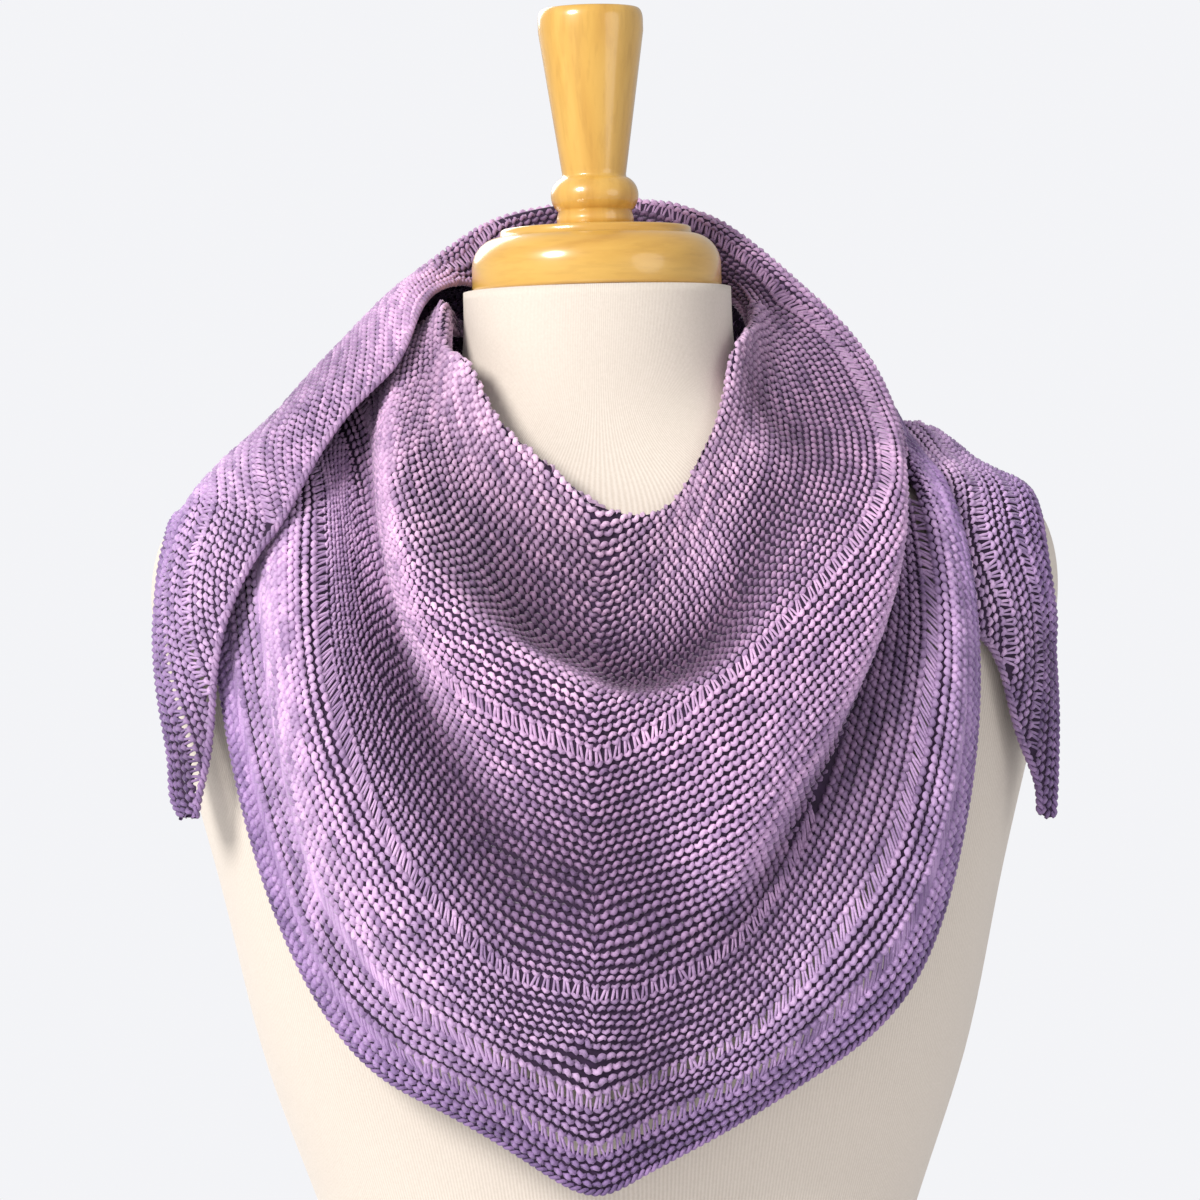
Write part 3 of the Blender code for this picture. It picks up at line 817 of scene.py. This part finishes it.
def trace_rows(grid, normals, fields, count, upper, hollow, first, zero):
    """Every row as runs of points, with the distance of each point from the spine or the sheet's first line.

    Each run carries the fields too, which are the depth in a fold and the distance to the next row.
    """
    lines = np.arange(len(grid))
    axis = lengths_along(grid[:, grid.shape[1] // 2])
    before = np.full(len(grid), np.nan)
    rows = {}
    for label in range(TOP_ROW + 1):
        shift = PAIR_SHIFT * min(1.0, label / PAIR_FULL_ROW) ** 2 * (1 - 2 * (label % 2))
        place = row_places(count, upper, hollow, label + shift)
        known = np.full(len(grid), np.nan)
        rows[label] = []
        for a, b in runs_of(~np.isnan(place)):
            line = lines[a : b + 1]
            spot = place[a : b + 1]
            points = at_place(grid, line, spot)
            length = lengths_along(points)
            if a <= zero <= b:
                along = length - np.interp(zero, line, length)
            else:
                near = a if a > zero else b
                base = axis[near] - axis[zero] if np.isnan(before[near]) else before[near]
                along = length - length[near - a] + base
            known[a : b + 1] = along
            normal = unit(at_place(normals, line, spot))
            rows[label].append((line + first, points, normal, along, at_place(fields, line, spot)))
        before = known
    return rows


def clipped_shell(name, grid, count, finish, open_rows):
    """The cloth behind the rows, as one smooth surface that is parted where the long open stitches are."""
    rows, columns = grid.shape[:2]
    points = [tuple(point) for point in grid.reshape(-1, 3)]
    labels = count.reshape(-1).tolist()
    faces = []
    cache = {}

    def crossing(a, b, level):
        key = (min(a, b), max(a, b), level)
        if key not in cache:
            part = (level - labels[a]) / (labels[b] - labels[a])
            points.append(tuple(points[a][axis] * (1 - part) + points[b][axis] * part for axis in range(3)))
            labels.append(level)
            cache[key] = len(points) - 1
        return cache[key]

    def kept(face, level, above):
        result = []
        for index, a in enumerate(face):
            b = face[(index + 1) % len(face)]
            inside_a = labels[a] >= level if above else labels[a] <= level
            inside_b = labels[b] >= level if above else labels[b] <= level
            if inside_a:
                result.append(a)
            if inside_a != inside_b and labels[a] != labels[b] and level not in (labels[a], labels[b]):
                result.append(crossing(a, b, level))
        return result if len(set(result)) >= 3 else []

    for row in range(rows - 1):
        for column in range(columns - 1):
            a = row * columns + column
            pieces = [[a, a + 1, a + columns + 1, a + columns]]
            low = min(labels[i] for i in pieces[0])
            high = max(labels[i] for i in pieces[0])
            for middle in open_rows if high - low < MOST_ROWS_IN_FACE else ():
                sides = (middle - OPEN_HALF_WIDTH, False), (middle + OPEN_HALF_WIDTH, True)
                if high > sides[0][0] and low < sides[1][0]:
                    parts = [kept(piece, *side) for piece in pieces for side in sides]
                    pieces = [part for part in parts if part]
            faces += pieces
    used = sorted({i for face in faces for i in face})
    order = {old: new for new, old in enumerate(used)}
    mesh = bpy.data.meshes.new(name)
    corners = [tuple(value * MM for value in points[i]) for i in used]
    mesh.from_pydata(corners, [], [[order[i] for i in face] for face in faces])
    mesh.validate()
    made = finished(mesh, finish)
    wall = made.modifiers.new("wall", "SOLIDIFY")
    wall.thickness = SHELL_THICKNESS * MM
    wall.offset = 0.0
    return made


def add_strands(tubes, rows, label, owners, rng):
    """The long open stitches between the rows on either side of a dropped one, two legs to a stitch."""
    below, above = (
        {int(line): points[index] for lines, points, *_ in rows[near] for index, line in enumerate(lines)}
        for near in (label - 1, label + 1)
    )
    for lines, _, normal, along, fields in rows[label]:
        lines = lines.tolist()
        usable = np.array([i in below and i in above and label in OPEN_ROWS[owners[i]] for i in lines])
        for a, b in runs_of(usable):
            part = slice(a, b + 1)
            order = np.argsort(along[part])
            here = along[part][order]
            low = np.array([below[i] for i in lines[part]])[order]
            high = np.array([above[i] for i in lines[part]])[order]
            facing = normal[part][order]
            folds = fields[part, 0][order]
            first = int(np.ceil(here[0] / STITCH))
            last = int(np.floor(here[-1] / STITCH))
            for stitch in range(first, last + 1):
                lean = rng.normal(0, STRAND_LEAN)
                for leg in (-1, 1):
                    foot = (stitch + leg * STRAND_FOOT + lean * 0.5) * STITCH
                    head = (stitch + leg * STRAND_HEAD - lean * 0.5) * STITCH
                    if min(foot, head) < here[0] or max(foot, head) > here[-1]:
                        continue
                    up = read_at(foot, here, facing)
                    share = np.linspace(*STRAND_ENDS, STRAND_POINTS)[:, None]
                    bow = np.sin(np.pi * share) * (STRAND_BOW[0] + STRAND_BOW[1] * rng.random())
                    path = read_at(foot, here, low) * (1 - share) + read_at(head, here, high) * share
                    facing_up = np.tile(up, (STRAND_POINTS, 1))
                    width = STRAND_RADIUS * (1.0 + STRAND_UNEVEN * rng.normal())
                    way = np.linspace(foot, foot + STRAND_MAP_LENGTH, STRAND_POINTS)
                    tubes.add(path + up * bow, facing_up, width, way, label, np.interp(foot, here, folds))


def fill(node, values):
    """Gives a node's inputs their plain values."""
    for name, value in values.items():
        node.inputs[name].default_value = value


def node_of(tree, kind, values=None, **settings):
    """A shader node with its settings and with plain values in its inputs."""
    made = tree.nodes.new(kind)
    for name, value in settings.items():
        setattr(made, name, value)
    fill(made, values or {})
    return made


def new_material(name, values):
    """A material with plain values on its shader's own sockets."""
    made = bpy.data.materials.new(name)
    made.use_nodes = True
    shader = made.node_tree.nodes["Principled BSDF"]
    fill(shader, values)
    return made, made.node_tree, shader


def ramp(tree, stops, factor):
    """The colour that a ramp has at a factor."""
    made = tree.nodes.new("ShaderNodeValToRGB")
    while len(made.color_ramp.elements) < len(stops):
        made.color_ramp.elements.new(0.5)
    for element, (place, colour) in zip(made.color_ramp.elements, stops):
        element.position = place
        element.color = (*colour, 1.0)
    tree.links.new(factor, made.inputs["Fac"])
    return made.outputs["Color"]


def mapped(tree, name):
    """A map's place on the surface, and a node that parts its two values."""
    place = node_of(tree, "ShaderNodeUVMap", uv_map=name).outputs["UV"]
    split = tree.nodes.new("ShaderNodeSeparateXYZ")
    tree.links.new(place, split.inputs["Vector"])
    return place, split


def object_place(tree):
    return tree.nodes.new("ShaderNodeTexCoord").outputs["Object"]


def texture(tree, kind, place, values, **settings):
    """A texture's value at a place."""
    made = node_of(tree, kind, values, **settings)
    tree.links.new(place, made.inputs["Vector"])
    return made.outputs["Fac"]


def multiplied(tree, first, second, share=1.0):
    """One colour multiplied by a share of another."""
    made = node_of(tree, "ShaderNodeMix", {"Factor": share}, data_type="RGBA", blend_type="MULTIPLY")
    tree.links.new(first, made.inputs["A"])
    tree.links.new(second, made.inputs["B"])
    return made.outputs["Result"]


def add_bump(tree, shader, height, strength, distance):
    made = node_of(tree, "ShaderNodeBump", {"Strength": strength, "Distance": distance})
    tree.links.new(height, made.inputs["Height"])
    tree.links.new(made.outputs["Normal"], shader.inputs["Normal"])


def yarn_material():
    """Dyed yarn, whose colour goes by its row and the way along it, with painted shade in the troughs of
    folds and the dips between stitches, and painted highlight on the crests.
    """
    finish = {"Roughness": 0.62, "Sheen Weight": 0.25, "Sheen Roughness": 0.45}
    made, tree, shader = new_material("scarf_yarn", finish)
    place, split = mapped(tree, "rows")
    share = node_of(tree, "ShaderNodeMath", {1: NECK_ROW}, operation="DIVIDE")
    tree.links.new(split.outputs["Y"], share.inputs[0])
    dye = ramp(tree, DYES, share.outputs[0])
    noise = texture(tree, "ShaderNodeTexNoise", place, {"Scale": 0.55, "Detail": 3.0, "Roughness": 0.6})
    streaked = multiplied(tree, dye, ramp(tree, STREAKS, noise))
    # Painted shade and highlight: the colour is darkened in the troughs of folds and the dips between
    # stitches, and lightened on the crests of the folds
    _, depth = mapped(tree, "folds")
    shaded = multiplied(tree, streaked, ramp(tree, FOLD_PAINTED_SHADE_AND_HIGHLIGHT, depth.outputs["X"]))
    tree.links.new(shaded, shader.inputs["Base Color"])
    twist = {"Scale": 420.0, "Distortion": 3.0, "Detail": 1.0}
    settings = {"wave_type": "BANDS", "bands_direction": "DIAGONAL"}
    plies = texture(tree, "ShaderNodeTexWave", object_place(tree), twist, **settings)
    add_bump(tree, shader, plies, 0.35, 0.0004)
    return made


def shell_material():
    """The cloth behind the rows, nearly black: painted shade in the gaps between the rows and behind the open
    stitches.
    """
    made, tree, shader = new_material("knit_painted_gap_shade", {"Roughness": 0.9})
    noise = texture(tree, "ShaderNodeTexNoise", object_place(tree), {"Scale": 220.0})
    tree.links.new(ramp(tree, PAINTED_GAP_SHADE_TONES, noise), shader.inputs["Base Color"])
    add_bump(tree, shader, noise, 0.6, 0.0005)
    return made


def jersey_material():
    """Cream jersey, with fine wales up the form."""
    made, tree, shader = new_material("cream_jersey", {"Roughness": 0.88, "Sheen Weight": 0.2})
    _, split = mapped(tree, "wales")
    turned = node_of(tree, "ShaderNodeMath", {1: JERSEY_WALES * 2 * np.pi}, operation="MULTIPLY")
    tree.links.new(split.outputs["X"], turned.inputs[0])
    wale = node_of(tree, "ShaderNodeMath", operation="SINE")
    tree.links.new(turned.outputs[0], wale.inputs[0])
    noise = texture(tree, "ShaderNodeTexNoise", object_place(tree), {"Scale": 900.0, "Detail": 2.0})
    height = node_of(tree, "ShaderNodeMath", {1: 0.35}, operation="MULTIPLY_ADD")
    tree.links.new(wale.outputs[0], height.inputs[0])
    tree.links.new(noise, height.inputs[2])
    tree.links.new(ramp(tree, JERSEY_TONES, height.outputs[0]), shader.inputs["Base Color"])
    add_bump(tree, shader, height.outputs[0], 0.25, 0.0004)
    return made


def wood_material(name, stretch):
    """Maple under a clear coat, with its grain drawn out along the piece."""
    made, tree, shader = new_material(name, {"Roughness": 0.32, "Coat Weight": 0.7, "Coat Roughness": 0.12})
    mapping = node_of(tree, "ShaderNodeMapping", {"Scale": stretch})
    tree.links.new(object_place(tree), mapping.inputs["Vector"])
    place = mapping.outputs["Vector"]
    grain = {"Scale": 1.0, "Detail": 5.0, "Roughness": 0.55, "Distortion": 0.6}
    broad = ramp(tree, MAPLE_TONES, texture(tree, "ShaderNodeTexNoise", place, grain))
    fine = texture(tree, "ShaderNodeTexNoise", place, {"Scale": 7.0, "Detail": 3.0})
    flecked = multiplied(tree, broad, ramp(tree, MAPLE_FLECKS, fine), 0.35)
    tree.links.new(flecked, shader.inputs["Base Color"])
    return made


def smooth_form(finish):
    """The form with finer rings than its solid, and a map round it for the jersey's wales."""
    rings = form_rings(SMOOTH_RINGS, SMOOTH_SEGMENTS) * MM
    rows, columns = rings.shape[:2]
    points = rings.reshape(-1, 3)
    mesh = bpy.data.meshes.new("dress_form")
    bottom = tuple(reversed(range(columns)))
    top = tuple(range((rows - 1) * columns, rows * columns))
    mesh.from_pydata(points.tolist(), [], [*grid_faces(rows, columns, closed=True), bottom, top])
    layer = mesh.uv_layers.new(name="wales")
    maps = []
    for polygon in mesh.polygons:
        verts = list(polygon.vertices)
        shares = [(index % columns) / columns for index in verts]
        if max(shares) - min(shares) > 0.5 and len(verts) == 4:
            shares = [value + 1.0 if value < 0.5 else value for value in shares]
        maps += [(value, points[index][2]) for value, index in zip(shares, verts)]
    layer.data.foreach_set("uv", np.array(maps, np.float32).ravel())
    return finished(mesh, finish)


def turned_piece(name, profile, finish):
    """A turned piece with a fine profile, closed at both ends of its axis."""
    turns = 2 * np.pi * np.arange(FINE_TURNS) / FINE_TURNS
    inner = np.array(profile[1:-1], float)
    heights = np.repeat(inner[:, 1:], FINE_TURNS, axis=1)
    rings = np.stack([inner[:, :1] * np.cos(turns), inner[:, :1] * np.sin(turns), heights], axis=-1)
    points = [(0, 0, profile[0][1]), *rings.reshape(-1, 3).tolist(), (0, 0, profile[-1][1])]
    faces = []
    last = 1 + (len(inner) - 1) * FINE_TURNS
    for turn in range(FINE_TURNS):
        beside = (turn + 1) % FINE_TURNS
        faces.append((0, 1 + turn, 1 + beside))
        for a in range(1, last, FINE_TURNS):
            b = a + FINE_TURNS
            faces.append((a + turn, b + turn, b + beside, a + beside))
        faces.append((len(points) - 1, last + beside, last + turn))
    mesh = bpy.data.meshes.new(name)
    mesh.from_pydata([tuple(v * MM for v in point) for point in points], [], faces)
    return finished(mesh, finish)


def cap_profile():
    shoulder_reach = CAP_RADIUS - CAP_STEP_RADIUS
    shoulder_centre = (CAP_STEP_RADIUS, CAP_SHOULDER_HEIGHT)
    return [
        (0, CAP_TOP),
        (CAP_STEP_RADIUS - 2.2 * CAP_TOP_EDGE, CAP_TOP),
        (CAP_STEP_RADIUS - CAP_TOP_EDGE, CAP_TOP - 0.15),
        (CAP_STEP_RADIUS - 0.25 * CAP_TOP_EDGE, CAP_TOP - 0.7),
        (CAP_STEP_RADIUS, CAP_TOP - 1.6 * CAP_TOP_EDGE),
        *arc(shoulder_centre, (shoulder_reach, CAP_SHOULDER_RISE), 90, 0, 20),
        (CAP_RADIUS, CAP_BOTTOM + CAP_BOTTOM_EDGE),
        (CAP_RADIUS - 0.4, CAP_BOTTOM + 0.5),
        (CAP_RADIUS - CAP_BOTTOM_EDGE, CAP_BOTTOM),
        (0, CAP_BOTTOM),
    ]


def handle_profile():
    rim_across, rim_drop = HANDLE_RIM_ROUND
    waist_radius, waist_height = HANDLE_WAIST
    ball_radius, ball_height = HANDLE_BALL
    foot_radius, foot_height = HANDLE_FOOT
    rim_centre = (HANDLE_RIM_RADIUS - rim_across, HANDLE_TOP - rim_drop)
    ball_centre = (ball_radius - HANDLE_BALL_ROUND[0], ball_height)
    return [
        (0, HANDLE_TOP),
        *arc(rim_centre, HANDLE_RIM_ROUND, 90, 0, 12),
        (HANDLE_RIM_RADIUS, HANDLE_TOP - 2 * rim_drop),
        (waist_radius + 0.3, waist_height + 2.0),
        (waist_radius, waist_height),
        *arc(ball_centre, HANDLE_BALL_ROUND, *HANDLE_BALL_ENDS, 18),
        (foot_radius, HANDLE_BOTTOM + foot_height),
        (foot_radius, HANDLE_BOTTOM),
        (0, HANDLE_BOTTOM),
    ]


def place_piece(piece, slot, *nodes):
    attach(piece, "root")
    if nodes:
        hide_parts(*nodes)


def add_lamp(name, place, aim, size, power, colour):
    data = bpy.data.lights.new(name, "AREA")
    data.shape = "DISK"
    data.size = size
    data.energy = power
    data.color = colour
    lamp = add_object(name, data)
    lamp.location = place
    lamp.rotation_euler = (Vector((0.0, 0.0, aim)) - Vector(place)).to_track_quat("-Z", "Y").to_euler()


def make_camera():
    data = bpy.data.cameras.new("camera")
    data.sensor_width = 36.0
    data.lens = CAMERA_LENS
    camera = add_object("camera", data)
    camera.location = CAMERA_PLACE
    camera.rotation_euler = (radians(90), radians(CAMERA_ROLL), 0)
    bpy.context.scene.camera = camera


def make_stage():
    """A pale round floor and a pale surround, with the strongest lamp at the upper left.

    The camera sees the surround brighter than the light that it gives.
    """
    mesh = bpy.data.meshes.new("floor")
    turns = 2 * np.pi * np.arange(FLOOR_SIDES) / FLOOR_SIDES
    points = [(FLOOR_RADIUS * cos(turn), FLOOR_RADIUS * sin(turn), 0.0) for turn in turns]
    mesh.from_pydata(points, [], [tuple(range(FLOOR_SIDES))])
    finish, _, _ = new_material("pale_floor", {"Base Color": FLOOR_COLOUR, "Roughness": 0.7})
    mesh.materials.append(finish)
    floor = add_object("floor", mesh)
    world = bpy.data.worlds.new("surround")
    world.use_nodes = True
    tree = world.node_tree
    background = tree.nodes["Background"]
    fill(background, {"Color": (*SURROUND, 1.0)})
    seen = tree.nodes.new("ShaderNodeLightPath")
    strength = node_of(tree, "ShaderNodeMapRange", {"To Min": SURROUND_LIGHT, "To Max": SURROUND_STRENGTH})
    tree.links.new(seen.outputs["Is Camera Ray"], strength.inputs["Value"])
    tree.links.new(strength.outputs["Result"], background.inputs["Strength"])
    bpy.context.scene.world = world
    bpy.context.scene.view_settings.view_transform = "Standard"
    for name, values in LAMPS.items():
        add_lamp(name, *values)


def part_of_rows(name, label):
    """The front's rows are so many that they make several pieces, parted at certain rows."""
    return sum(label > row for row in FRONT_PARTED_AT) if name == "scarf_front" else 0


def row_domains(grid, places, starts):
    """The three parts of the sheet in which rows are traced, and the row counts of the whole sheet.

    Each part is its first line, its counts from the hem and from the neck, and the line where the way along a
    row is 0. From the nape's middle to its end, the counts of the bib go over into those of the roll.
    """
    last = len(grid) - 1
    bib_places = places[starts["scarf_front"] :]
    bib_first = bib_places[0]
    anchors = BIB_ROWS + OUTER_NAPE_ROWS
    nape_middle = bib_places[len(anchors) - 1]
    nape_end = places[starts["scarf_tail_left"] - 1]
    skewed = places[starts["scarf_nape_outer"] - 1 :]
    beyond = np.interp(np.arange(last + 1), skewed[: len(ROWS_BEYOND_HEM)], ROWS_BEYOND_HEM)
    count = lengths_from_hem(grid) / WING_ROW_PITCH + beyond[:, None]
    wing_count = count[: bib_first + 1].copy()
    middle = slice(bib_first, nape_middle + 1)
    bib_count, bib_upper, hollow = bib_rows(
        grid[middle], bib_first, anchors, bib_places[: len(anchors)], beyond[middle]
    )
    spine = int(np.argmin(np.abs(spine_reach(grid[middle])[:, hollow])))
    share = np.interp(np.arange(nape_middle, last + 1), [nape_middle, nape_end], [0.0, 1.0])[:, None]
    roll_upper = (1 - share) * bib_upper[-1] + share * count[nape_middle:]
    roll_count = (1 - share) * bib_count[-1] + share * count[nape_middle:]
    count[nape_middle:] = roll_count
    count[middle] = bib_count
    domains = [
        (0, wing_count, wing_count, bib_first),
        (bib_first, bib_count, bib_upper, spine),
        (nape_middle, roll_count, roll_upper, 0),
    ]
    return domains, count, hollow


def add_rows(tubes, rows, owners):
    """Yarn along each row but the hem's own, in the tubes of each stretch that it crosses."""
    for label in range(1, TOP_ROW + 1):
        for run in rows[label]:
            if run[3][0] > run[3][-1]:
                run = [values[::-1] for values in run]
            line, points, normal, along, fields = run
            carried = [along, line.astype(float), *fields.T]
            path, facing, carried = resampled(points, normal, carried, STITCH / STEPS_PER_STITCH)
            where, lines, fold, pitch = carried
            radius = YARN_RADIUS * np.clip(pitch / FULL_PITCH, *RADIUS_SHARES)
            bent, dips = yarn_path(path, facing, where, label)
            # Painted shade: the yarn is darkened in the dips between its stitches
            fold = fold + DIP_SHADE * dips
            owner = owners[np.clip(np.round(lines).astype(int), 0, len(owners) - 1)]
            for name in np.unique(owner):
                if label in OPEN_ROWS[name]:
                    continue
                for a, b in runs_of(owner == name):
                    piece = slice(a, b + 2)
                    yarn = tubes.setdefault((name, part_of_rows(name, label)), Tubes())
                    yarn.add(bent[piece], facing[piece], radius[piece], where[piece], label, fold[piece])


def edge_chains(grid, normals, count):
    """The chains along the neck edge, dyed like the rows that end there, and along the hem."""
    chains = Tubes(closed=True)
    step = CHAIN_STITCH / CHAIN_STEPS
    for column in (0, grid.shape[1] - 1):
        path, facing, (label,) = resampled(grid[:, column], normals[:, column], [count[:, column]], step)
        length = np.arange(len(path)) * CHAIN_STITCH / CHAIN_STEPS
        across = unit(np.cross(facing, unit(np.gradient(path, axis=0))))
        for strand in (0.0, np.pi):
            phase = 2 * np.pi * length / CHAIN_STITCH + strand
            rise = facing * (CHAIN_RISE * np.cos(phase))[:, None]
            swing = across * (CHAIN_SWING * np.sin(phase))[:, None]
            chains.add(path + rise + swing, facing, CHAIN_RADIUS, length, 1.0 if column else label, 0.0)
    return chains


def knit_scarf():
    """The pieces of yarn and the shell behind them, for each stretch of the scarf."""
    grid, owners, places, starts = whole_sheet()
    normals = grid_normals(grid)
    folds = fold_depths(grid, normals)
    domains, count, hollow = row_domains(grid, places, starts)
    tubes = {}
    strands = Tubes()
    rng = np.random.default_rng(STRAND_SEED)
    for first, low_count, high_count, zero in domains:
        part = slice(first, first + len(low_count))
        fields = np.stack([folds[part], row_pitches(grid[part], low_count, high_count, hollow)], axis=-1)
        rows = trace_rows(grid[part], normals[part], fields, low_count, high_count, hollow, first, zero)
        add_rows(tubes, rows, owners)
        for label in BIB_OPEN_ROWS:
            add_strands(strands, rows, label, owners, rng)
    yarn = yarn_material()
    backing = shell_material()
    pieces = {name: [] for name in FLAT_SIZES}
    for name, index in sorted(tubes):
        suffix = f"_rows_{index + 1}" if name == "scarf_front" else "_rows"
        pieces[name].append(tubes[name, index].make(name + suffix, yarn))
    pieces["scarf_front"].append(strands.make("scarf_open_stitches", yarn))
    pieces["scarf_front"].append(edge_chains(grid, normals, count).make("scarf_edges", yarn))
    shells = {}
    for name in pieces:
        lines = np.flatnonzero(owners == name)
        part = slice(max(lines[0] - 1, 0), lines[-1] + 1)
        open_rows = SEEN_THROUGH_ROWS if name in SEEN_THROUGH else ()
        shells[name] = clipped_shell(name + "_cloth", grid[part], count[part], backing, open_rows)
    return pieces, shells


def main():
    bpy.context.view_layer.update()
    make_camera()
    make_stage()
    place_piece(smooth_form(jersey_material()), "form_jersey", "form_body")
    cap = turned_piece("wooden_cap", cap_profile(), wood_material("cap_maple", (9.0, 9.0, 60.0)))
    place_piece(cap, "neck_wood", "neck_cap")
    handle = turned_piece("wooden_handle", handle_profile(), wood_material("handle_maple", (55.0, 55.0, 7.0)))
    place_piece(handle, "neck_wood", "neck_handle")
    pieces, shells = knit_scarf()
    for made in pieces.values():
        for piece in made:
            place_piece(piece, "scarf_knit")
    for name, shell in shells.items():
        place_piece(shell, "scarf_knit", name)


main()
